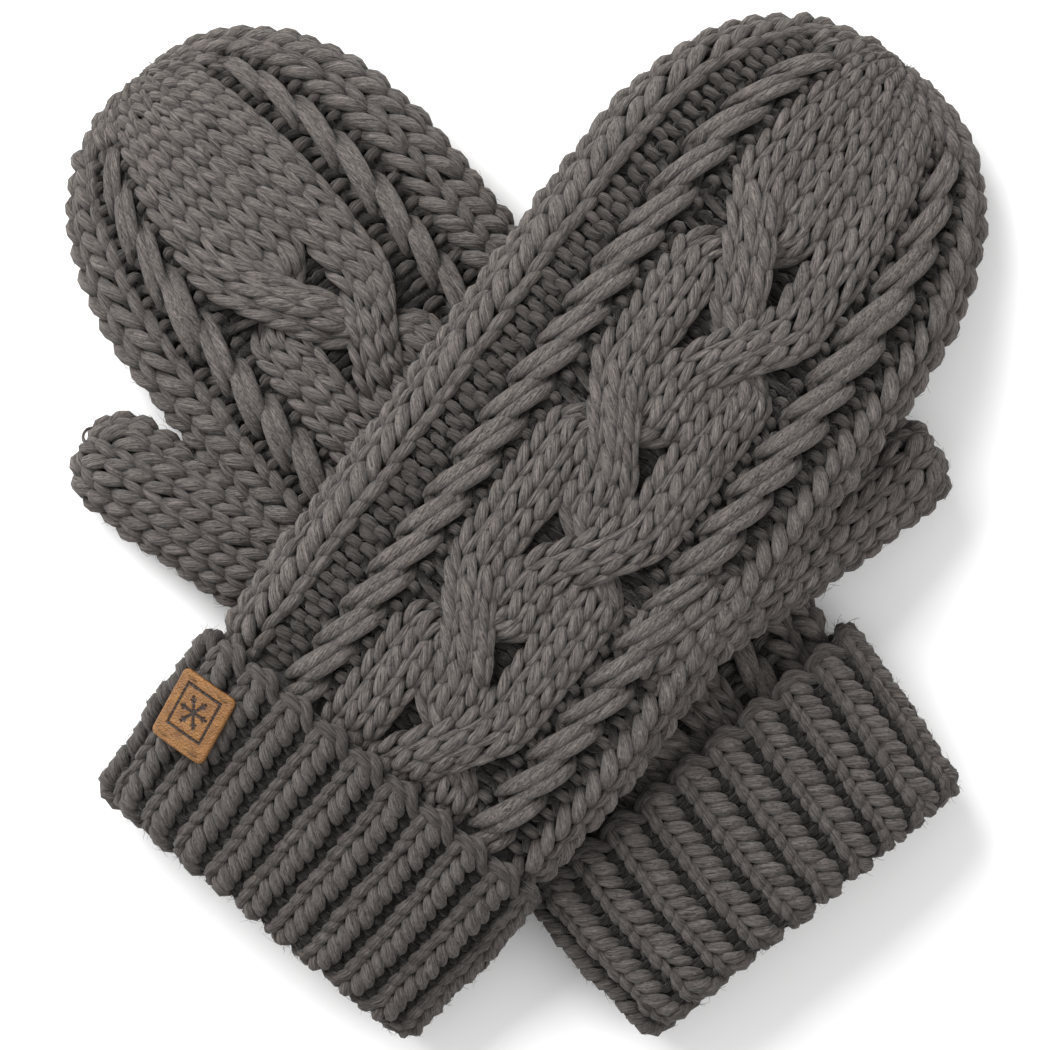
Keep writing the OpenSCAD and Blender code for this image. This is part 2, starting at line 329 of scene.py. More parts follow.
class Chart:
    """What each column of stitches does: where it runs around the tube, and which way it is worked.

    groups is a list of (letter, how many, width): K knit, P purl, T a twisted pair, C the plait."""

    def __init__(self, groups, crossings=()):
        widths, letters = [], []
        for letter, count, width in groups:
            widths += [width] * count
            letters += [letter] * count
        widths = np.array(widths, float)
        self.letters = letters
        self.width = widths / widths.sum()
        self.left = np.concatenate([[0], np.cumsum(self.width)[:-1]])
        self.crossings = crossings
        self.first_plait = letters.index("C") if "C" in letters else None
        twisted = [i for i, letter in enumerate(letters) if letter == "T"]
        self.ropes = list(zip(twisted[::2], twisted[1::2]))

    def plait_paths(self, v):
        """Which third of the plait each strand lies in at row v, and how far it stands out."""
        # Rows that a crossing takes on each side of its middle, for the front and the back strand.
        half, under = 2.7, 1.35
        place_of = [0, 1, 2]
        slot = np.stack([np.full_like(v, float(k)) for k in range(3)])
        out = np.zeros((3,) + v.shape)
        for row, leftward in self.crossings:
            a, b = (1, 0) if leftward else (1, 2)
            front, back = place_of.index(a), place_of.index(b)
            slot[front] += (b - a) * ease((v - row + half) / (2 * half))
            slot[back] += (a - b) * ease((v - row + under) / (2 * under))
            out[front] += np.cos(np.clip((v - row) / (half + 0.5), -1, 1) * math.pi / 2) ** 2
            out[back] -= np.cos(np.clip((v - row) / (under + 0.8), -1, 1) * math.pi / 2) ** 2
            place_of[front], place_of[back] = b, a
        return slot, out

    def rope_path(self, v):
        """The first strand of a twisted pair: how far across it is, and how far it stands out."""
        turn = v * math.pi / 2
        return (1 - np.cos(turn)) / 2, np.sin(turn)


def column_order(chart, rows, merge):
    """Which column lies at each place of each row, and which loops are pulled across a rope."""
    order = np.tile(np.arange(len(chart.letters)), (len(rows), 1))[:, ::merge]
    long_loop = np.zeros(order.shape, bool)
    if merge > 1:
        return order, long_loop
    plait = chart.first_plait
    if plait is not None:
        slot, _ = chart.plait_paths(rows)
        for i in range(len(rows)):
            strands = np.argsort(slot[:, i], kind="stable")
            order[i, plait:plait + 9] = [plait + 3 * s + k for s in strands for k in range(3)]
    across, stands = chart.rope_path(rows)
    for first, second in chart.ropes:
        swap = across > 0.5
        order[swap, first], order[swap, second] = second, first
        for column, sign in ((first, 1), (second, -1)):
            long_loop |= (order == column) & (sign * stands > 0.7)[:, None]
    return order, long_loop


def cross_plait(chart, order, v_row, u, lift):
    """Moves the plait's three strands, of three columns each, across and out of the fabric."""
    plait = chart.first_plait
    slot, out = chart.plait_paths(v_row)
    within = ((order - plait) % 3)[..., None]
    samples = v_row.shape[-1]
    phase = np.arange(samples) / samples
    slope = np.where(within == 0, 1 - ease(phase / SLOPE), 0.0)
    slope = np.where(within == 2, ease((phase - (1 - SLOPE)) / SLOPE), slope)
    crown = np.where(within == 1, PLAIT_CROWN, 0.0) - PLAIT_EDGE * slope
    for s in range(3):
        hit = ((order >= plait + 3 * s) & (order < plait + 3 * s + 3))[..., None]
        u = np.where(hit, u + (slot[s] - s) * 3 * chart.width[plait], u)
        rise = PLAIT_LIFT + crown + np.where(out[s] > 0, PLAIT_FRONT, PLAIT_BACK) * out[s]
        lift = np.where(hit, rise, lift)
    return u, lift


def twist_ropes(chart, order, long_loop, v_row, y, u, lift):
    """Moves the two strands of each rope, and lays the long loops across them."""
    across, stands = chart.rope_path(v_row)
    for first, second in chart.ropes:
        for column, sign in ((first, 1), (second, -1)):
            hit = (order == column)[..., None]
            pulled = 0.5 + ROPE_LEAN * np.clip(y, -1.3, 1.3)
            moved = np.where(long_loop[..., None], pulled if sign > 0 else 1 - pulled, across)
            u = np.where(hit, u + sign * moved * chart.width[first], u)
            behind = ROPE_REST + ROPE_BACK * np.clip(-sign * stands, 0, 1)
            lift = np.where(hit, np.where(long_loop[..., None], ROPE_FRONT, behind), lift)
    return u, lift


def knit(skin, chart, rows, row_of, samples, sunk=YARN_SUNK, mirror_x=False, merge=1, yarn_r=YARN_R,
         depth=LOOP_DEPTH, purl_sunk=PURL_SUNK, tuck=None, only=None):
    """Centre lines of the courses in rows: points, thickness, outward direction and painted shade, darker
    where the yarn lies deep.

    row_of turns row numbers into the skin's v. merge columns are worked together as one. only is
    a slice of columns, and leaves out the others."""
    table = loop_table(samples, mirror_x)
    rows = np.array(rows, float)
    order, long_loop = column_order(chart, rows, merge)
    wide = np.array([chart.width[i:i + merge].sum() for i in range(len(chart.letters))])
    letters = np.array(chart.letters)[order]
    kind = np.where((letters == "P") & (merge == 1), PURL, KNIT)
    kind = np.where(long_loop, ROPE, kind)
    purl = (kind == PURL)[..., None]
    x, y, z, r = (table[kind][..., k] for k in range(4))   # rows, columns, samples
    # Neighbouring loops meet half way between their two kinds of ends.
    end = np.minimum(np.arange(samples), samples - np.arange(samples)) / samples
    window = np.clip(1 - end / JOIN, 0, 1)
    own = np.where(kind == PURL, PURL_END, KNIT_END)
    before, after = (own + np.roll(own, 1, axis=1)) / 2, (own + np.roll(own, -1, axis=1)) / 2
    meet = np.where(np.arange(samples) < samples / 2, before[..., None], after[..., None])
    z = z * (1 - window) + meet * window
    odd = random.normal(0, 1, (4,) + kind.shape + (1,))
    x = x + UNEVEN_X * odd[0] * (1 - window)
    y = y + UNEVEN_Y * odd[1] * (1 - window)
    r = r * (1 + UNEVEN_R * odd[2] * (1 - window))
    v_row = rows[:, None, None] + y
    v = row_of(v_row)
    width = wide[order][..., None]
    u = chart.left[order][..., None] + x * width
    lift = np.where(purl, purl_sunk, 0.0) * np.ones_like(u)
    if merge == 1 and chart.first_plait is not None:
        u, lift = cross_plait(chart, order, v_row, u, lift)
    if merge == 1:
        u, lift = twist_ropes(chart, order, long_loop, v_row, y, u, lift)
    # Where the skin narrows, the loops are smaller and stand out less.
    room = width * skin.around(v) / STITCH_W
    tight = np.clip(room, 0.35, 1.5) ** 0.5
    radius = yarn_r * r * np.where(purl, np.clip(tight, 0.8, 1.0), tight)
    surface, normal = skin.at(u, v)
    height = depth * z + lift * np.clip(room * 1.4, 0, 1) - sunk + UNEVEN_OUT * odd[3]
    if tuck is not None:
        height = height - tuck(v_row)
    points = surface + normal * height[..., None]
    # Painted shade: yarn that lies deep in the fabric is painted darker, and purled loops darker still.
    depth_shade = (depth * z + np.minimum(lift, 0.6)) / (2 * depth)
    depth_shade = np.clip(depth_shade - np.where(purl, PURL_SHADE, 0.0), -1.2, 0.6)
    if only is not None:
        points, radius, normal, depth_shade = (value[:, only] for value in (points, radius, normal, depth_shade))
    shape = (len(rows), -1)
    return (points.reshape(shape + (3,)), radius.reshape(shape), normal.reshape(shape + (3,)),
            depth_shade.reshape(shape))


# The fibre pattern is drawn out along the yarn by FIBRE_STRETCH, and each line of yarn takes
# its pattern from another place.
FIBRE_STRETCH, LINE_OFFSET = 12, 7.3


def tube(points, radius, outward, depth_shade, closed=True, sides=SIDES, twist=0.22):
    """Vertices, faces, fibre pattern and painted shade of yarns that follow the rows of points.

    radius, outward and the painted shade from depth are the same all over or are given for each point; the
    flanks get more painted shade on top of it. twist is how far the fibres wind around the yarn, in radians
    for each millimetre."""
    lines, n = points.shape[:2]
    radius, depth_shade = np.broadcast_to(radius, (lines, n)), np.broadcast_to(depth_shade, (lines, n))
    outward = np.broadcast_to(outward, points.shape)
    if closed:
        tangent = unit(np.roll(points, -1, axis=1) - np.roll(points, 1, axis=1))
    else:
        tangent = unit(np.gradient(points, axis=1))
    # The cross-section is carried along by two reflections for each step, so that it doesn't
    # spin. What is left over at the end of a closed line is spread along it.
    side = np.empty_like(points)
    side[:, 0] = square_to(outward[:, 0], tangent[:, 0])
    for i in range(1, n):
        step = points[:, i] - points[:, i - 1]
        turn = tangent[:, i] - mirrored(tangent[:, i - 1], step)
        side[:, i] = mirrored(mirrored(side[:, i - 1], step), turn)
    side = unit(side)
    third = np.cross(tangent, side)
    spin = np.zeros((lines, n))
    if closed:
        left = square_to(mirrored(side[:, -1], points[:, 0] - points[:, -1]), tangent[:, 0])
        miss = np.arctan2(np.sum(left * third[:, 0], -1), np.sum(left * side[:, 0], -1))
        spin = -miss[:, None] * np.arange(n)[None, :] / n
    following = points[:, :1] if closed else points[:, -1:]
    length = np.linalg.norm(np.diff(points, axis=1, append=following), axis=-1)
    along = np.concatenate([np.zeros((lines, 1)), np.cumsum(length, axis=1)[:, :-1]], axis=1)
    angle = 2 * math.pi * np.arange(sides) / sides + spin[..., None]
    ring = np.cos(angle)[..., None] * side[:, :, None] + np.sin(angle)[..., None] * third[:, :, None]
    verts = points[:, :, None] + radius[:, :, None, None] * ring
    wound = 2 * math.pi * np.arange(sides) / sides + twist * along[..., None]
    rho = radius[:, :, None]
    drawn_out = along[..., None] / FIBRE_STRETCH + LINE_OFFSET * np.arange(lines)[:, None, None]
    drawn_out = np.broadcast_to(drawn_out, wound.shape)
    fibre = np.stack([drawn_out, rho * np.cos(wound), rho * np.sin(wound)], axis=-1)
    # Painted shade: the flanks, which face away from outward, are painted darker than the crown.
    facing = np.sum(ring * outward[:, :, None], axis=-1)
    shade = depth_shade[:, :, None] - FLANK_SHADE * (1 - np.clip(facing, 0, 1))
    index = np.arange(lines * n * sides).reshape(lines, n, sides)
    return {"verts": verts.reshape(-1, 3), "quads": tube_faces(index, closed), "fibre": fibre.reshape(-1, 3),
            "shade": shade.reshape(-1), "tangent": np.repeat(tangent.reshape(-1, 3), sides, axis=0),
            "ring": ring.reshape(-1, 3), "facing": facing.reshape(-1),
            "ends": None if closed else index[:, [0, -1]]}


def with_ends(part):
    """Triangles of open tubes, with a fan over each end."""
    q = part["quads"]
    first, last = part["ends"][:, 0], part["ends"][:, 1]
    corners = range(1, first.shape[1] - 1)
    fans = [first[:, [0, k + 1, k]] for k in corners] + [last[:, [0, k, k + 1]] for k in corners]
    return np.concatenate([q[:, [0, 1, 2]], q[:, [0, 2, 3]]] + fans)


def join(parts):
    """One set of arrays from several closed tubes."""
    out = {k: [] for k in parts[0] if k != "ends"}
    base = 0
    for part in parts:
        for k in out:
            out[k].append(part[k] + base if k == "quads" else part[k])
        base += len(part["verts"])
    return {k: np.concatenate(v) for k, v in out.items()}


def add_object(name, data, location=(0, 0, 0)):
    obj = bpy.data.objects.new(name, data)
    obj.location = location
    bpy.context.scene.collection.objects.link(obj)
    return obj


def make_mesh(name, verts, faces, material):
    """A mesh object in metres from arrays of points and of faces with equal numbers of corners."""
    mesh = bpy.data.meshes.new(name)
    corners = faces.shape[1]
    mesh.vertices.add(len(verts))
    mesh.vertices.foreach_set("co", (np.asarray(verts) * MM).astype(np.float32).ravel())
    mesh.loops.add(faces.size)
    mesh.loops.foreach_set("vertex_index", faces.astype(np.int32).ravel())
    mesh.polygons.add(len(faces))
    mesh.polygons.foreach_set("loop_start", (np.arange(len(faces)) * corners).astype(np.int32))
    mesh.update(calc_edges=True)
    mesh.polygons.foreach_set("use_smooth", np.ones(len(faces), bool))
    mesh.materials.append(material)
    return add_object(name, mesh)


def add_attribute(obj, name, values):
    """One number or one vector for each point of a mesh."""
    kind, field = ("FLOAT_VECTOR", "vector") if values.ndim == 2 else ("FLOAT", "value")
    obj.data.attributes.new(name, kind, "POINT").data.foreach_set(field, values.astype(np.float32).ravel())


# The stretch of the upper mitten, along it, that the lower one lies under, how far the lower
# one's yarn may sink into its underside, and the height that always stays free.
UNDER_FROM, UNDER_TO, SINK_IN, FREE_Z = 46, 230, 0.4, 3.0
TABLE_GAP = 0.05


def press(m, verts):
    """Keeps yarn off the table, and the lower mitten's yarn under the upper mitten."""
    verts = verts.copy()
    if m == RIGHT:
        x, y, _ = unplace(LEFT, verts).T
        w = np.maximum(hand_w(LEFT, y), 1.0)
        t = np.clip(np.abs((x - lean(LEFT, y)) / w), 0, 1)
        roof = mid_z(LEFT, y) - hand_t(y) * (1 - t ** HAND_ROUND) ** (1 / HAND_ROUND) + SINK_IN
        under = (y > UNDER_FROM) & (y < UNDER_TO) & (t < 0.98)
        verts[:, 2] = np.where(under, np.minimum(verts[:, 2], np.maximum(roof, FREE_Z)), verts[:, 2])
    verts[:, 2] = np.maximum(verts[:, 2], TABLE_GAP)
    return verts


def yarn_object(name, part, m, material):
    """A piece from the arrays of one tube, open or closed, or of several joined ones."""
    faces = part["quads"] if part.get("ends") is None else with_ends(part)
    obj = make_mesh(name, press(m, part["verts"]), faces, material)
    add_attribute(obj, "fibre", part["fibre"])
    add_attribute(obj, "shade", part["shade"])
    return obj


def fuzz(name, parts, m, count, material, longest=3.6):
    """Loose fibres that stand off the yarn, each a thin three-sided thread."""
    part = join(parts)
    chosen = random.choice(np.flatnonzero((part["facing"] > 0.05) & (part["shade"] > -0.9)), count)
    start = part["verts"][chosen]
    along = part["tangent"][chosen] * np.sign(random.normal(0, 1, (count, 1)))
    out = part["ring"][chosen]
    side = np.cross(along, out)
    lean_by = random.normal(0, 0.45, (count, 1))
    heading = unit(along + side * lean_by)
    length = random.uniform(0.3, 1.0, (count, 1)) * longest
    lift = random.uniform(0.02, 0.42, (count, 1)) ** 1.8 * length
    curl = random.normal(0, 0.26, (count, 1)) * length
    sharp = random.normal(0, 0.10, (count, 1)) * length
    steps = 4
    t = np.linspace(0, 1, steps)[None, :, None]
    line = (start[:, None] + heading[:, None] * (length[:, None] * t)
            + out[:, None] * (lift[:, None] * np.sin(t * 2.2))
            + side[:, None] * (curl[:, None] * t ** 2 + sharp[:, None] * np.sin(t * 5))
            - out[:, None] * 0.10)
    thick = (1 - 0.65 * t[..., 0]) * random.uniform(0.04, 0.085, (count, 1))
    # Partly painted highlight: each loose fibre's lightness is random, but set high on the whole, since
    # loose fibres catch the light.
    tone = random.uniform(-0.1, 0.75, (count, 1))
    hair = tube(line, thick, out[:, None], tone, closed=False, sides=3)
    return yarn_object(name, hair, m, material)


# -------- materials

def fill_inputs(tree, node, inputs):
    """Sets inputs of a node, each to a fixed value or from another node's output."""
    for name, value in inputs.items():
        if isinstance(value, bpy.types.NodeSocket):
            tree.links.new(value, node.inputs[name])
        else:
            node.inputs[name].default_value = value


def add_node(tree, kind, output, inputs, **settings):
    """Adds a shader node, and gives the one of its outputs that is asked for."""
    node = tree.nodes.new("ShaderNode" + kind)
    for name, value in settings.items():
        setattr(node, name, value)
    fill_inputs(tree, node, inputs)
    return node.outputs[output]


def add_ramp(tree, value, *stops):
    """A colour that follows value between two stops, each a position and a colour."""
    node = tree.nodes.new("ShaderNodeValToRGB")
    for element, (position, colour) in zip(node.color_ramp.elements, stops):
        element.position = position
        element.color = (*colour, 1)
    tree.links.new(value, node.inputs["Fac"])
    return node.outputs["Color"]


def new_material(name):
    material = bpy.data.materials.new(name)
    material.use_nodes = True
    return material, material.node_tree, material.node_tree.nodes["Principled BSDF"]


def yarn_material(name, dark, light, bump_mm=0.55):
    """Roving wool: fine fibres that wind along the yarn, with painted shade where the yarn dips inwards and
    on its flanks.
    """
    material, tree, shader = new_material(name)
    fibre = add_node(tree, "Attribute", "Vector", {}, attribute_name="fibre")
    shade = add_node(tree, "Attribute", "Fac", {}, attribute_name="shade")
    fine = add_node(tree, "TexNoise", "Fac", {"Vector": fibre, "Scale": 2.7, "Detail": 3.0,
                                              "Roughness": 0.62})
    strands = add_node(tree, "TexNoise", "Fac", {"Vector": fibre, "Scale": 1.15, "Detail": 1.0})
    coarse = add_node(tree, "TexNoise", "Fac", {"Vector": fibre, "Scale": 0.7, "Detail": 2.0})
    tone = add_node(tree, "MapRange", "Result", {"Value": coarse, "From Min": 0.3, "From Max": 0.7,
                                                 "To Min": 0.84, "To Max": 1.12})
    # Painted shade: the shade attribute darkens the wool where the yarn lies deep and on its flanks.
    recess_shade = add_node(tree, "MapRange", "Result", {"Value": shade, "From Min": -0.5, "From Max": 0.5,
                                                "To Min": 0.14, "To Max": 1.0})
    both = add_node(tree, "Math", "Value", {0: tone, 1: recess_shade}, operation="MULTIPLY")
    wool = add_ramp(tree, fine, (0.30, dark), (0.72, light))
    colour = add_node(tree, "VectorMath", "Vector", {0: wool, "Scale": both}, operation="SCALE")
    height = add_node(tree, "Math", "Value", {0: strands, 1: 1.7, 2: fine}, operation="MULTIPLY_ADD")
    bump = add_node(tree, "Bump", "Normal", {"Height": height, "Distance": bump_mm * MM, "Strength": 1.0})
    fill_inputs(tree, shader, {"Base Color": colour, "Normal": bump, "Roughness": 0.92,
                               "Specular IOR Level": 0.12, "Sheen Weight": 0.15, "Sheen Roughness": 0.5,
                               "Sheen Tint": (0.85, 0.80, 0.76, 1)})
    return material


def fleece_material():
    """Soft pile on the face that touches the hand, and a knitted back painted near-black, as shade where it
    shows between the stitches.
    """
    material, tree, shader = new_material("fleece")
    where = add_node(tree, "TexCoord", "Object", {})
    tuft = add_node(tree, "TexNoise", "Fac", {"Vector": where, "Scale": 900.0, "Detail": 5.0})
    pile = add_ramp(tree, tuft, (0.0, (0.10, 0.092, 0.085)), (1.0, (0.27, 0.245, 0.225)))
    inside = add_node(tree, "Attribute", "Fac", {}, attribute_name="pile")
    # The wall without pile faces the knit and is painted near-black: painted shade between the stitches.
    colour = add_node(tree, "Mix", "Result", {"Factor": inside, "A": (0.022, 0.019, 0.018, 1), "B": pile},
                      data_type="RGBA")
    bump = add_node(tree, "Bump", "Normal", {"Height": tuft, "Distance": 0.6 * MM})
    fill_inputs(tree, shader, {"Base Color": colour, "Normal": bump, "Roughness": 0.95, "Sheen Weight": 0.4})
    return material


def leather_material():
    """Tan leather with a fine grain, burnt dark brown where the pattern is pressed in."""
    material, tree, shader = new_material("tan_leather")
    where = add_node(tree, "TexCoord", "Object", {})
    grain = add_node(tree, "TexVoronoi", "Distance", {"Vector": where, "Scale": 1900.0})
    cloud = add_node(tree, "TexNoise", "Fac", {"Vector": where, "Scale": 420.0, "Detail": 6.0})
    tan = add_ramp(tree, cloud, (0.28, (0.125, 0.050, 0.009)), (0.74, (0.225, 0.098, 0.020)))
    pressed = add_node(tree, "Attribute", "Fac", {}, attribute_name="pressed")
    colour = add_node(tree, "Mix", "Result", {"Factor": pressed, "A": tan, "B": (0.014, 0.006, 0.003, 1)},
                      data_type="RGBA")
    bump = add_node(tree, "Bump", "Normal", {"Height": grain, "Distance": 0.3 * MM})
    fill_inputs(tree, shader, {"Base Color": colour, "Normal": bump, "Roughness": 0.55})
    return material


KNIT_YARN = yarn_material("knit_yarn", (0.024, 0.0209, 0.0193), (0.184, 0.162, 0.150))
CUFF_YARN = yarn_material("rib_yarn", (0.019, 0.0165, 0.0153), (0.148, 0.131, 0.122))
THREAD = yarn_material("tag_thread", (0.09, 0.045, 0.018), (0.20, 0.11, 0.045), bump_mm=0.05)
FLEECE = fleece_material()
LEATHER = leather_material()


# -------- the hands

STRAIGHT_ROWS = 27
TIP_ROWS = 14
FIRST_Y = TIP_START - STRAIGHT_ROWS * ROW_H
TIP_TURN = math.radians(87)
TUCK_DEPTH, TUCK_END, TUCK_LEN = 5.0, 54, 13

BACK_GROUPS = {
    LEFT: [("K", 1, 7.5), ("K", 1, 9.2), ("P", 2, 4.9), ("T", 2, 5.6), ("P", 1, 2.6), ("C", 9, 5.1),
           ("P", 1, 2.6), ("T", 2, 6.0), ("P", 1, 4.6), ("K", 1, 8.6), ("K", 1, 8.0)],
    RIGHT: [("K", 1, 8.8), ("K", 1, 8.6), ("P", 1, 3.2), ("T", 2, 5.2), ("P", 1, 1.8), ("C", 9, 4.8),
            ("P", 1, 4.6), ("T", 2, 4.2), ("P", 1, 3.6), ("K", 1, 8.4), ("K", 1, 8.8)]}
PALM_GROUPS = [("K", 18, 6.5)]
# Heights along the hand where the plait's strands cross: (y, leftward strand in front).
CROSSINGS = {
    LEFT: [(61.4, False), (89.6, True), (121.6, False), (151.0, True), (185.6, False), (208.6, True)],
    RIGHT: [(59.0, True), (84.0, False), (113.0, True), (143.0, True), (182.0, False), (202.5, True)]}
# The purled ground behind the plait: how far it lies under the surface, and how much painted shade darkens
# it, as it lies in the plait's shadow.
GROUND_SUNK, GROUND_SAMPLES, GROUND_SHADE = 4.1, 12, 0.35
HAND_HAIRS, CUFF_HAIRS, THUMB_HAIRS = 9500, 8000, 4000


def hand_y(row):
    """y of a row of stitches: even along the hand, and following the curve over the fingertips."""
    over = np.clip((row - STRAIGHT_ROWS) / TIP_ROWS, 0, 1) * TIP_TURN
    return np.where(row <= STRAIGHT_ROWS, FIRST_Y + row * ROW_H,
                    TIP_START + (HAND_LEN - TIP_START) * np.sin(over))


def row_at(y):
    """The row at y, below the fingertips' curve or on it."""
    over = math.asin(min(1.0, max(0.0, (y - TIP_START) / (HAND_LEN - TIP_START))))
    return (y - FIRST_Y) / ROW_H if y < TIP_START else STRAIGHT_ROWS + over / TIP_TURN * TIP_ROWS


def tuck_in(row):
    """The hand's first rows come up from inside the cuff."""
    return TUCK_DEPTH * ease((TUCK_END - hand_y(row)) / TUCK_LEN)


def knit_hand(m):
    y = hand_y(np.linspace(-2, STRAIGHT_ROWS + TIP_ROWS, 330))
    skin = Skin(m, lean(m, y), y, mid_z(m, y), hand_w(m, y), hand_t(y), HAND_ROUND, floor=FLOOR[m])

    def row_of(row):
        return (row + 2) / (STRAIGHT_ROWS + TIP_ROWS + 2)

    chart = Chart(BACK_GROUPS[m] + PALM_GROUPS, [(row_at(y), leftward) for y, leftward in CROSSINGS[m]])
    half_way = STRAIGHT_ROWS + 9
    # Rows of each piece, and how many columns are worked together: fewer loops close the tip.
    bands = [(range(0, 9), 1), (range(9, 18), 1), (range(18, 27), 1), (range(27, half_way + 1), 1),
             (range(half_way + 1, half_way + 4), 2), (range(half_way + 4, half_way + 6), 4)]
    parts = [tube(*knit(skin, chart, rows, row_of, LOOP_SAMPLES, merge=merge, tuck=tuck_in))
             for rows, merge in bands]
    # The purled ground that the plait's strands cross over.
    first = chart.first_plait
    plain = Chart([("P" if letter == "C" else letter, count, width)
                   for letter, count, width in BACK_GROUPS[m] + PALM_GROUPS])
    ground = tube(*knit(skin, plain, range(0, half_way), row_of, GROUND_SAMPLES, sunk=GROUND_SUNK,
                        tuck=tuck_in, only=slice(first - 1, first + 10)), closed=False, sides=6)
    # Painted shade: the ground is painted darker still than the yarn in front of it.
    ground["shade"] = ground["shade"] - GROUND_SHADE
    behind = yarn_object(f"{m}_hand_ground", ground, m, KNIT_YARN)
    courses = [yarn_object(f"{m}_hand_courses_{i + 1}", part, m, KNIT_YARN)
               for i, part in enumerate(parts[:3] + [join(parts[3:])])]
    hairs = [fuzz(f"{m}_hand_fuzz_{i}", parts, m, HAND_HAIRS, KNIT_YARN) for i in (1, 2)]
    for piece in [behind] + courses + hairs:
        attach(piece, f"{m}_mitten")
    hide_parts(f"{m}_hand_knit")


# -------- the cuffs

RIBS = 22
RIB_W, GUTTER_W = 7.9, 3.5
RIB_GROUPS = [("K", 1, RIB_W), ("P", 1, GUTTER_W)] * RIBS
RIB_CENTRE = RIB_W / 2 / (RIB_W + GUTTER_W)
CUFF_ROW_H = 3.9
# The first row of loops hangs this far below the cuff's free edge.
EDGE_DROP = 2.2
CUFF_STITCH = dict(yarn_r=1.48, depth=1.35, sunk=2.3, purl_sunk=-2.1)
FOLD_R = MOUTH_IN / 2
INNER_TOP = 38.0


def cuff_profile(s):
    """y and depth on the cuff's skin, s from the free edge down the outside and up the inside."""
    arc = math.pi * FOLD_R
    turn = np.clip((s - CUFF_H) / FOLD_R, 0, math.pi)
    down = CUFF_H - np.minimum(s, CUFF_H)
    up = np.maximum(0, s - CUFF_H - arc)
    return down - FOLD_R * np.sin(turn) + up, FOLD_R * (1 - np.cos(turn))


def knit_cuff(m):
    length = CUFF_H + math.pi * FOLD_R + INNER_TOP
    s = np.linspace(0, length, 300)
    y, d = cuff_profile(s)
    # The skin is laid out as for a hand, but its rows go down the outside, so its normals point
    # inwards until they are turned.
    skin = Skin(m, lean(m, y), y, mid_z(m, y), cuff_w(y, d), CUFF_HALF_T - d, CUFF_ROUND, floor=FLOOR[m])
    skin.normals = -skin.normals
    chart = Chart(RIB_GROUPS)

    def row_of(row):
        return (row * CUFF_ROW_H + EDGE_DROP) / length

    outer = int((CUFF_H + math.pi * FOLD_R + 2) / CUFF_ROW_H)
    inner_rows = range(outer, int((length - 8) / CUFF_ROW_H))
    # Rows run downwards here, so an upright loop already hangs upside down on the mitten.
    outer_part = tube(*knit(skin, chart, range(0, outer), row_of, 14, mirror_x=True, **CUFF_STITCH))
    inner_part = tube(*knit(skin, chart, inner_rows, row_of, 10, mirror_x=True, **CUFF_STITCH), sides=6)
    cuff = yarn_object(f"{m}_cuff_courses", outer_part, m, CUFF_YARN)
    wrist = yarn_object(f"{m}_wrist_courses", inner_part, m, CUFF_YARN)
    edge = chain_edge(skin)
    rim = yarn_object(f"{m}_cuff_edge_chain", edge, m, CUFF_YARN)
    hairs = fuzz(f"{m}_cuff_fuzz", [outer_part, edge], m, CUFF_HAIRS, CUFF_YARN)
    for piece in (cuff, wrist, rim, hairs):
        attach(piece, f"{m}_mitten")
    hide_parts(f"{m}_turned_cuff")
    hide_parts(f"{m}_wrist_rib")


# The cast-off edge: the radius of its strands, how far they go in and out and up and down as
# they wind, how far they sink, and how far they rise, outwards and up, over each rib.
CHAIN_R, CHAIN_OUT, CHAIN_UP, CHAIN_SUNK = 1.75, 1.3, 1.1, 0.4
ARCH_OUT, ARCH_UP = 0.6, 1.3
# Its place on the cuff's skin, from 0 at the free edge to 1.
CHAIN_V = 0.6 / 98


def chain_edge(skin):
    """The cast-off edge of a cuff: two strands that wind around each other."""
    steps = 20 * RIBS
    t = np.arange(steps) / steps
    rib = np.cos(2 * math.pi * (t * RIBS - RIB_CENTRE))
    surface, normal = skin.at(t, np.full(steps, CHAIN_V))
    up = np.gradient(skin.points, axis=0)[2]
    up = -unit(up[(t * Skin.AROUND).astype(int) % Skin.AROUND])
    lines, sizes = [], []
    for strand in (0, 1):
        turn = 2 * math.pi * t * RIBS + strand * math.pi
        lines.append(surface - normal * (TURNUP_T / 2 - CHAIN_OUT * np.sin(turn) - ARCH_OUT * rib)[:, None]
                     + up * (CHAIN_UP * np.cos(turn) - CHAIN_SUNK + ARCH_UP * rib)[:, None])
        sizes.append(CHAIN_R * (1 + 0.08 * np.sin(turn * 2 + 1)))
    # The chain gets one fixed level of painted shade.
    return tube(np.stack(lines), np.stack(sizes), unit(normal + up * 0.6), 0.25)


# -------- the thumbs

THUMB_COLUMNS = 13
THUMB_ROW_H = 6.0
THUMB_STITCH = dict(yarn_r=1.54, depth=1.6, sunk=1.9)
# A stretch of the thumb, at this height, where the thumb meets the hand: knit_thumb works out its two ends
# but does not use them.
BLEND_FROM, BLEND_TO, BLEND_Z = 2.0, 30.0, 10.0


def thumb_line(m, y):
    """Height of a thumb's middle and its half width at y, before its tip is rounded."""
    share = np.minimum(y, THUMB_LEN) / THUMB_LEN
    z = mix(THUMB_ROOT_Z[m], THUMB_TIP_Z[m], np.maximum(0, share) ** 2)
    return z, mix(THUMB_ROOT_R, THUMB_TIP_R, share)


def thumb_skin(m):
    straight = THUMB_LEN + 3
    length = straight + THUMB_TIP_R * math.pi / 2 * 0.96
    s = np.linspace(0, length, 200)
    turn = np.clip((s - straight) / THUMB_TIP_R, 0, None)
    y = np.minimum(s, straight) - 3 + THUMB_TIP_R * np.sin(turn)
    z, w = thumb_line(m, y)
    h = THUMB_HALF_T * np.cos(turn)
    return Skin(m, 0 * y, y, z, w * np.cos(turn), h, THUMB_ROUND, place_thumb), length


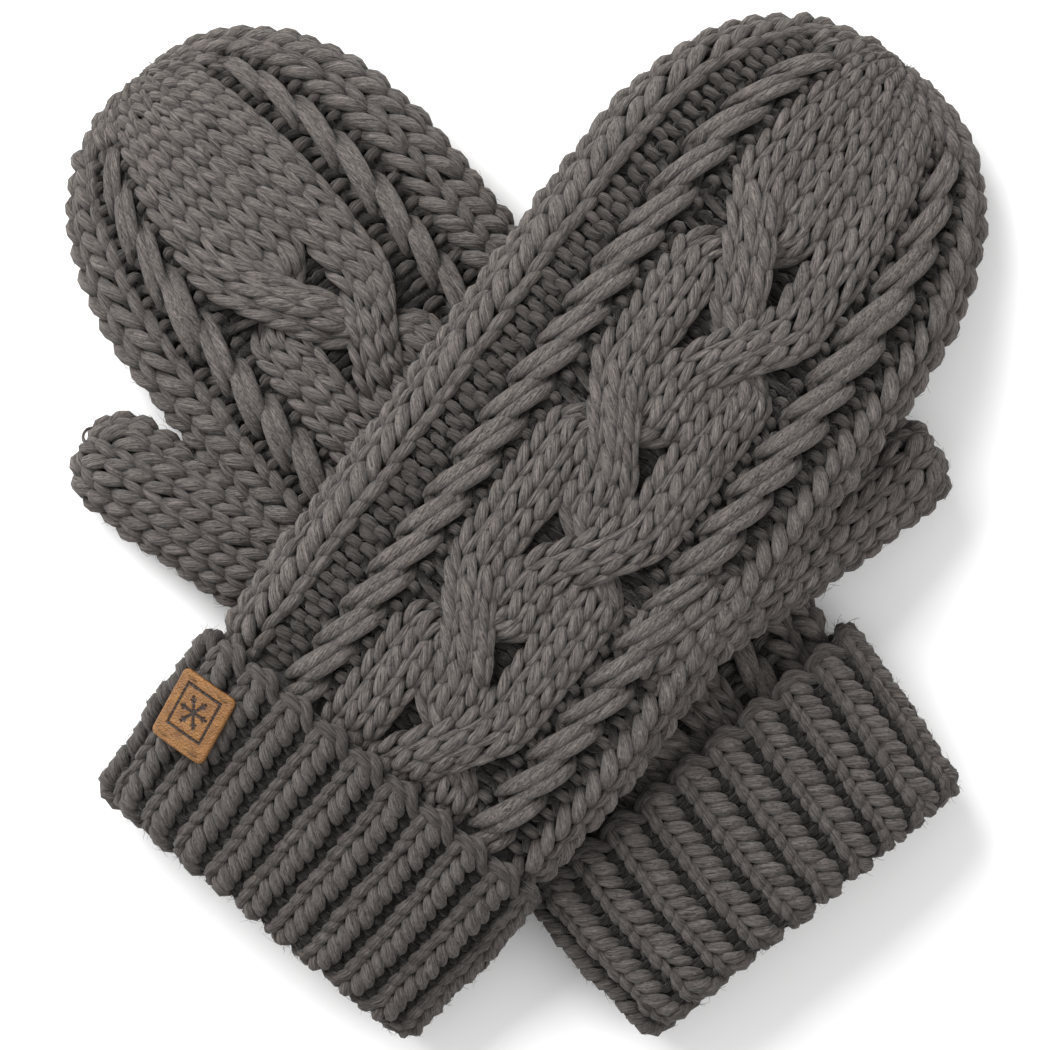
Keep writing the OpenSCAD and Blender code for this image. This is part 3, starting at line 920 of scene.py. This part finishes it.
def knit_thumb(m):
    skin, length = thumb_skin(m)
    chart = Chart([("K", THUMB_COLUMNS, 6.0)])
    last = int(length / THUMB_ROW_H)

    def row_of(row):
        return row * THUMB_ROW_H / length

    parts = [tube(*knit(skin, chart, rows, row_of, LOOP_SAMPLES, merge=merge, **THUMB_STITCH))
             for rows, merge in ((range(0, last - 2), 1), (range(last - 2, last), 2))]
    start = place_thumb(m, np.array([0.0, BLEND_FROM, BLEND_Z])) * MM
    end = place_thumb(m, np.array([0.0, BLEND_TO, BLEND_Z])) * MM
    courses = yarn_object(f"{m}_thumb_courses", join(parts), m, KNIT_YARN)
    hairs = fuzz(f"{m}_thumb_fuzz", parts, m, THUMB_HAIRS, KNIT_YARN)
    for piece in (courses, hairs):
        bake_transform(piece)
    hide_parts(f"{m}_thumb_knit")


# -------- linings and hems

LINING_END = HAND_LEN - LINING_IN - 9
LINING_RIM = 0.9
GAP = 0.4
# The hem is a roll around the lining's rim, with this radius and number of stitches.
HEM_Y, HEM_R, HEM_STITCHES = LINING_RIM - 2.3, 1.35, 90


def lining_size(m, y, d):
    """Half width and half thickness of the lining at y, drawn in by d: narrower in the wrist."""
    t = ease((y - WRIST_Y) / 24)
    w = mix(cuff_w(y, MOUTH_IN + GAP + d), HALF_W[m] - LINING_IN - d - 0.7, t)
    h = mix(CUFF_HALF_T - MOUTH_IN - GAP - d, HAND_HALF_T - LINING_IN - d - 0.7, t)
    cap = bulge((y - TIP_START) / (LINING_END - TIP_START - d + 0.5), OUTLINE_ROUND)
    return w * cap, h * cap


def tufted(skin, rows, columns, depth):
    """Grid of points on a skin, roughened as short pile is."""
    u, v = np.meshgrid(np.arange(columns) / columns, np.linspace(0, 1, rows))
    points, normal = skin.at(u, v)
    return points + normal * random.normal(0, depth, u.shape)[..., None]


def fleece_object(name, verts, faces, with_pile):
    obj = make_mesh(name, verts, faces, FLEECE)
    add_attribute(obj, "pile", with_pile)
    return obj


def bag(name, outer, inner):
    """A closed lining from the rings of its two walls, with its pile on the inner one."""
    rings = np.concatenate([inner[::-1], outer])
    n, k = rings.shape[:2]
    index = np.arange(n * k).reshape(n, k)
    around = np.roll(index, -1, axis=1)
    quads = tube_faces(index, closed=False)
    caps = np.concatenate([np.stack([around[0], index[0], np.full(k, n * k)], axis=1),
                           np.stack([index[-1], around[-1], np.full(k, n * k + 1)], axis=1)])
    faces = np.concatenate([quads[:, [0, 1, 2]], quads[:, [0, 2, 3]], caps])
    centres = np.stack([rings[0].mean(axis=0), rings[-1].mean(axis=0)])
    # The wall without pile gets the near-black painted shade.
    with_pile = np.arange(n * k) < len(inner) * k
    return fleece_object(name, np.concatenate([rings.reshape(-1, 3), centres]), faces,
                         np.concatenate([with_pile, [1, 0]]))


def sew_lining(m):
    walls = []
    for d, roughness in ((0.0, 0.05), (LINING_T, 0.28)):
        over = np.linspace(0, math.radians(84), 30)
        y = np.concatenate([np.linspace(LINING_RIM, TIP_START, 90)[:-1],
                            TIP_START + (LINING_END - TIP_START - d) * np.sin(over)])
        w, h = lining_size(m, y, d)
        skin = Skin(m, lean(m, y), y, mid_z(m, y), w, h, mix(CUFF_ROUND, HAND_ROUND, 0.5))
        walls.append(tufted(skin, 100, 120, roughness))
    lining = bag(f"{m}_lining_bag", *walls)
    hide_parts(f"{m}_hand_lining")
    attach(lining, f"{m}_mitten")
    hem = roll_hem(m)


def roll_hem(m):
    """The lining's rolled edge inside the fold, pinched by its stitches."""
    turn = np.linspace(0, 2 * math.pi, 17)[:-1]
    u = np.linspace(0, 1, 241)[:-1]
    pinch = 0.14 * np.cos(u * 2 * math.pi * HEM_STITCHES)[:, None] * np.array([0, 0, 0.6])
    rings = []
    for t in turn:
        y = np.full(2, HEM_Y + HEM_R * math.cos(t))
        d = MOUTH_IN + GAP + 1.1 + HEM_R * math.sin(t)
        skin = Skin(m, lean(m, y), y + np.array([0, 0.01]), mid_z(m, y), cuff_w(y, d),
                    np.full(2, CUFF_HALF_T - d), CUFF_ROUND)
        rings.append(skin.at(u, np.zeros_like(u))[0] + pinch)
    rings = np.stack(rings, axis=1)
    index = np.arange(len(u) * len(turn)).reshape(len(u), len(turn))
    quads = tube_faces(index, closed=True)[:, [0, 3, 2, 1]]
    hem = fleece_object(f"{m}_lining_hem_roll", press(m, rings.reshape(-1, 3)), quads,
                        np.ones(index.size))
    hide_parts(f"{m}_lining_hem")
    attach(hem, f"{m}_mitten")
    return hem


def sew_thumb_lining(m):
    walls = []
    for d, roughness in ((4.8, 0.04), (6.6, 0.15)):
        turn = np.linspace(0, math.radians(84), 16)
        y = np.concatenate([np.linspace(-2, THUMB_LEN, 40)[:-1],
                            THUMB_LEN + (THUMB_TIP_R - d) * np.sin(turn) * 0.5])
        round_off = np.concatenate([np.ones(39), np.cos(turn)])
        z, w = thumb_line(m, y)
        h = (THUMB_HALF_T - d) * round_off
        skin = Skin(m, 0 * y, y, z, (w - d) * round_off, h, THUMB_ROUND, place_thumb)
        walls.append(tufted(skin, 50, 60, roughness))
    lining = bag(f"{m}_thumb_lining_bag", *walls)
    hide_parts(f"{m}_thumb_lining")
    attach(lining, f"{m}_thumb")


# -------- gathered tips

def gather(name, m, put, centre, rise, size, yarn_r):
    """A yarn end drawn through the last loops: a few small turns that close the tip."""
    turns = 3
    t = np.linspace(0, 1, 90)
    a = 2 * math.pi * turns * t
    reach = size * (1 - 0.55 * t)
    line = np.stack([centre[0] + reach * np.cos(a), centre[1] + rise * (t - 0.5) + 0.4 * np.sin(2 * a),
                     centre[2] + 0.45 * reach * np.sin(a)], axis=-1)
    forward = unit(put(m, np.array([[0.0, 1.0, 0.0]])) - put(m, np.array([[0.0, 0.0, 0.0]])))
    # The gathered yarn gets one fixed, somewhat dark level of painted shade.
    return yarn_object(name, tube(put(m, line)[None], yarn_r, forward, -0.1, closed=False), m, KNIT_YARN)


def gather_tips(m):
    hand_end = (lean(m, HAND_LEN), HAND_LEN - 3.4, mid_z(m, HAND_LEN))
    thumb_end = (0.0, THUMB_LEN + THUMB_TIP_R - 2.8, THUMB_TIP_Z[m])
    for tip, body, *shape in (("tip", "mitten", place, hand_end, 2.4, 4.2, 1.6),
                              ("thumb", "thumb", place_thumb, thumb_end, 1.6, 2.6, 1.3)):
        end = gather(f"{m}_{tip}_gather_yarn", m, *shape)
        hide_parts(f"{m}_{tip}_gather")
        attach(end, f"{m}_{body}")


# On the table, in the coordinates of the whole model.
SNAG_AT, SNAG_R, SNAG_YARN_R = (-112.4, 22.3, 12.0), 2.3, 0.42


def pulled_loop():
    """A small loop of yarn that has been pulled out at the tip of the lower mitten's thumb."""
    turn = np.radians(np.linspace(-25, 295, 40))
    circle = np.stack([SNAG_R * np.cos(turn), SNAG_R * np.sin(turn), 0.8 * np.sin(2 * turn)], axis=-1)
    line = np.array(SNAG_AT) + circle
    # The loop gets one fixed level of painted shade.
    part = tube(line[None], SNAG_YARN_R, np.array([0.0, 0.0, 1.0]), 0.45, closed=False, sides=6)
    obj = yarn_object("right_thumb_pulled_loop", part, RIGHT, KNIT_YARN)
    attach(obj, "right_thumb")


# -------- the leather tag

TAG_W, TAG_H, TAG_T = 17.0, 19.5, 1.5
TAG_TILT_X, TAG_TILT_Y, TAG_SPIN = 16.0, -19.0, 10.0
TAG_BEND_R = 46.0
TAG_X, TAG_Y, TAG_UP = -41.0, 26.6, 15.0
TAG_CORNER_R = 1.7
PRESS_DEPTH, THREAD_R = 0.34, 0.24


def on_tag(p):
    """Points of the tag's own plane, with its bend, on the shoulder of the upper mitten's cuff."""
    bend = (p[..., 0] ** 2) / (2 * TAG_BEND_R)
    q = np.stack([p[..., 0], p[..., 1], p[..., 2] - bend + 0.35], axis=-1)
    for degrees, i, j in ((TAG_SPIN, 0, 1), (TAG_TILT_Y, 2, 0), (TAG_TILT_X, 1, 2)):
        q = turned(q, degrees, i, j)
    return place(LEFT, q + np.array([TAG_X, TAG_Y, mid_z(LEFT, TAG_Y) + TAG_UP]))


def pattern_depth(x, y):
    """How deep the generic pattern is pressed in at a point: a six-rayed star in a square frame."""
    r = np.hypot(x, y)
    a = np.arctan2(y, x)
    ray = np.abs((a / (math.pi / 3) + 0.5) % 1.0 - 0.5) * (math.pi / 3) * r
    star = np.clip((0.42 - ray) / 0.16 + 0.5, 0, 1) * np.clip((4.4 - r) / 0.2 + 0.5, 0, 1)
    side = np.abs(ray - 0.62 * np.maximum(0, r - 2.3))
    twig = np.clip((0.26 - side) / 0.14 + 0.5, 0, 1)
    twig = twig * np.clip((3.7 - r) / 0.2, 0, 1) * np.clip((r - 2.3) / 0.2, 0, 1)
    frame = np.clip((0.36 - np.abs(np.maximum(np.abs(x), np.abs(y) * 0.9) - 5.3)) / 0.16 + 0.5, 0, 1)
    return np.maximum(np.maximum(star, twig), frame)


def cut_tag():
    nx, ny = 100, 114
    grid = np.stack(np.meshgrid(np.linspace(-1, 1, nx), np.linspace(-1, 1, ny), indexing="ij"))
    half = np.array([TAG_W / 2, TAG_H / 2])[:, None, None]
    # A square grid is squeezed to a rectangle with small round corners.
    p = grid * half
    over = np.maximum(0, np.abs(p) - (half - TAG_CORNER_R))
    shrink = np.where((over > 0).all(axis=0), over.max(axis=0) / np.maximum(np.hypot(*over), 1e-6), 1.0)
    px, py = np.sign(p) * (np.abs(p) - over * (1 - shrink))
    edge = (half * (1 - np.abs(grid))).min(axis=0)
    soft = 0.35 * np.clip(1 - edge / 0.6, 0, 1) ** 2
    pressed = pattern_depth(px, py - 0.9)
    wave = 0.05 * np.sin(px * 1.9 + 1.0) * np.sin(py * 1.4)
    top = np.stack([px, py, TAG_T - soft - PRESS_DEPTH * pressed + wave], axis=-1)
    low = np.stack([px, py, 0.0 + soft + wave], axis=-1)
    index = np.arange(nx * ny).reshape(nx, ny)
    quads = np.stack([index[:-1, :-1], index[1:, :-1], index[1:, 1:], index[:-1, 1:]], axis=-1)
    quads = quads.reshape(-1, 4)
    rim = np.concatenate([index[:, 0], index[-1, 1:], index[-2::-1, -1], index[0, -2:0:-1]])
    nxt = np.roll(rim, -1)
    base = nx * ny
    walls = np.stack([rim, rim + base, nxt + base, nxt], axis=-1)[:, ::-1]
    verts = on_tag(np.concatenate([top.reshape(-1, 3), low.reshape(-1, 3)]))
    faces = np.concatenate([quads, quads[:, ::-1] + base, walls[:, ::-1]])
    tag = make_mesh("leather_tag_patch", verts, faces, LEATHER)
    add_attribute(tag, "pressed", np.concatenate([pressed.ravel(), np.zeros(base)]))
    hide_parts("leather_tag")
    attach(tag, "left_mitten")


def stitch_tag():
    """Four short stitches hold the tag by its corners."""
    t = np.linspace(0, 1, 14)
    over = TAG_T - 0.5 + 0.85 * np.sin(np.pi * t) ** 0.5
    lines = [on_tag(np.stack([x * (5.0 + 1.6 * (t - 0.5) * 2), np.full_like(t, y * 8.2), over], axis=-1))
             for x, y in ((-1, -1), (-1, 1), (1, -1), (1, 1))]
    outward = unit(on_tag(np.array([0.0, 0.0, 2.0])) - on_tag(np.array([0.0, 0.0, 0.0])))
    # The thread gets one fixed level of painted shade.
    part = tube(np.stack(lines), THREAD_R, outward, 0.4, closed=False, twist=1.6)
    obj = yarn_object("tag_thread", part, LEFT, THREAD)
    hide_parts("tag_stitches")
    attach(obj, "left_mitten")


for mitten in (RIGHT, LEFT):
    knit_hand(mitten)
    knit_cuff(mitten)
    knit_thumb(mitten)
    sew_lining(mitten)
    sew_thumb_lining(mitten)
    gather_tips(mitten)
pulled_loop()
cut_tag()
stitch_tag()


# -------- floor, light and camera

FLOOR_HALF = 2000.0
# Each light: name, place in metres, size in metres, power in watts.
LIGHTS = [("key", (-0.7, 0.8, 1.0), 1.0, 34), ("fill", (0.9, -0.5, 1.1), 1.3, 8),
          ("top", (0.0, 0.0, 1.6), 1.2, 4)]
CAMERA_AT = (-0.0004, -0.0005, 1.8)
# The picture is this wide, in metres, at the height where most of the mittens' top lies.
FRAME_W, FRAME_Z = 0.2688, 0.03
SENSOR_MM = 36.0


def studio():
    floor_material, tree, shader = new_material("floor")
    fill_inputs(tree, shader, {"Base Color": (0.94, 0.94, 0.94, 1), "Roughness": 0.9})
    corners = np.array([[-1, -1, 0], [1, -1, 0], [1, 1, 0], [-1, 1, 0]]) * FLOOR_HALF
    make_mesh("floor", corners, np.array([[0, 1, 2, 3]]), floor_material)
    for name, spot, size, power in LIGHTS:
        light = bpy.data.lights.new(name, "AREA")
        light.size = size
        light.energy = power
        lamp = add_object(name, light, spot)
        lamp.rotation_euler = (Vector((0, 0, 0)) - Vector(spot)).to_track_quat("-Z", "Y").to_euler()
    world = bpy.data.worlds.new("studio")
    world.use_nodes = True
    tree = world.node_tree
    fill_inputs(tree, tree.nodes["Background"], {"Color": (1, 1, 1, 1), "Strength": 0.5})
    bpy.context.scene.world = world
    data = bpy.data.cameras.new("camera")
    data.sensor_width = SENSOR_MM
    data.lens = SENSOR_MM * (CAMERA_AT[2] - FRAME_Z) / FRAME_W
    data.clip_end = 20.0
    bpy.context.scene.camera = add_object("camera", data, CAMERA_AT)
    bpy.context.scene.view_settings.view_transform = "Standard"


studio()
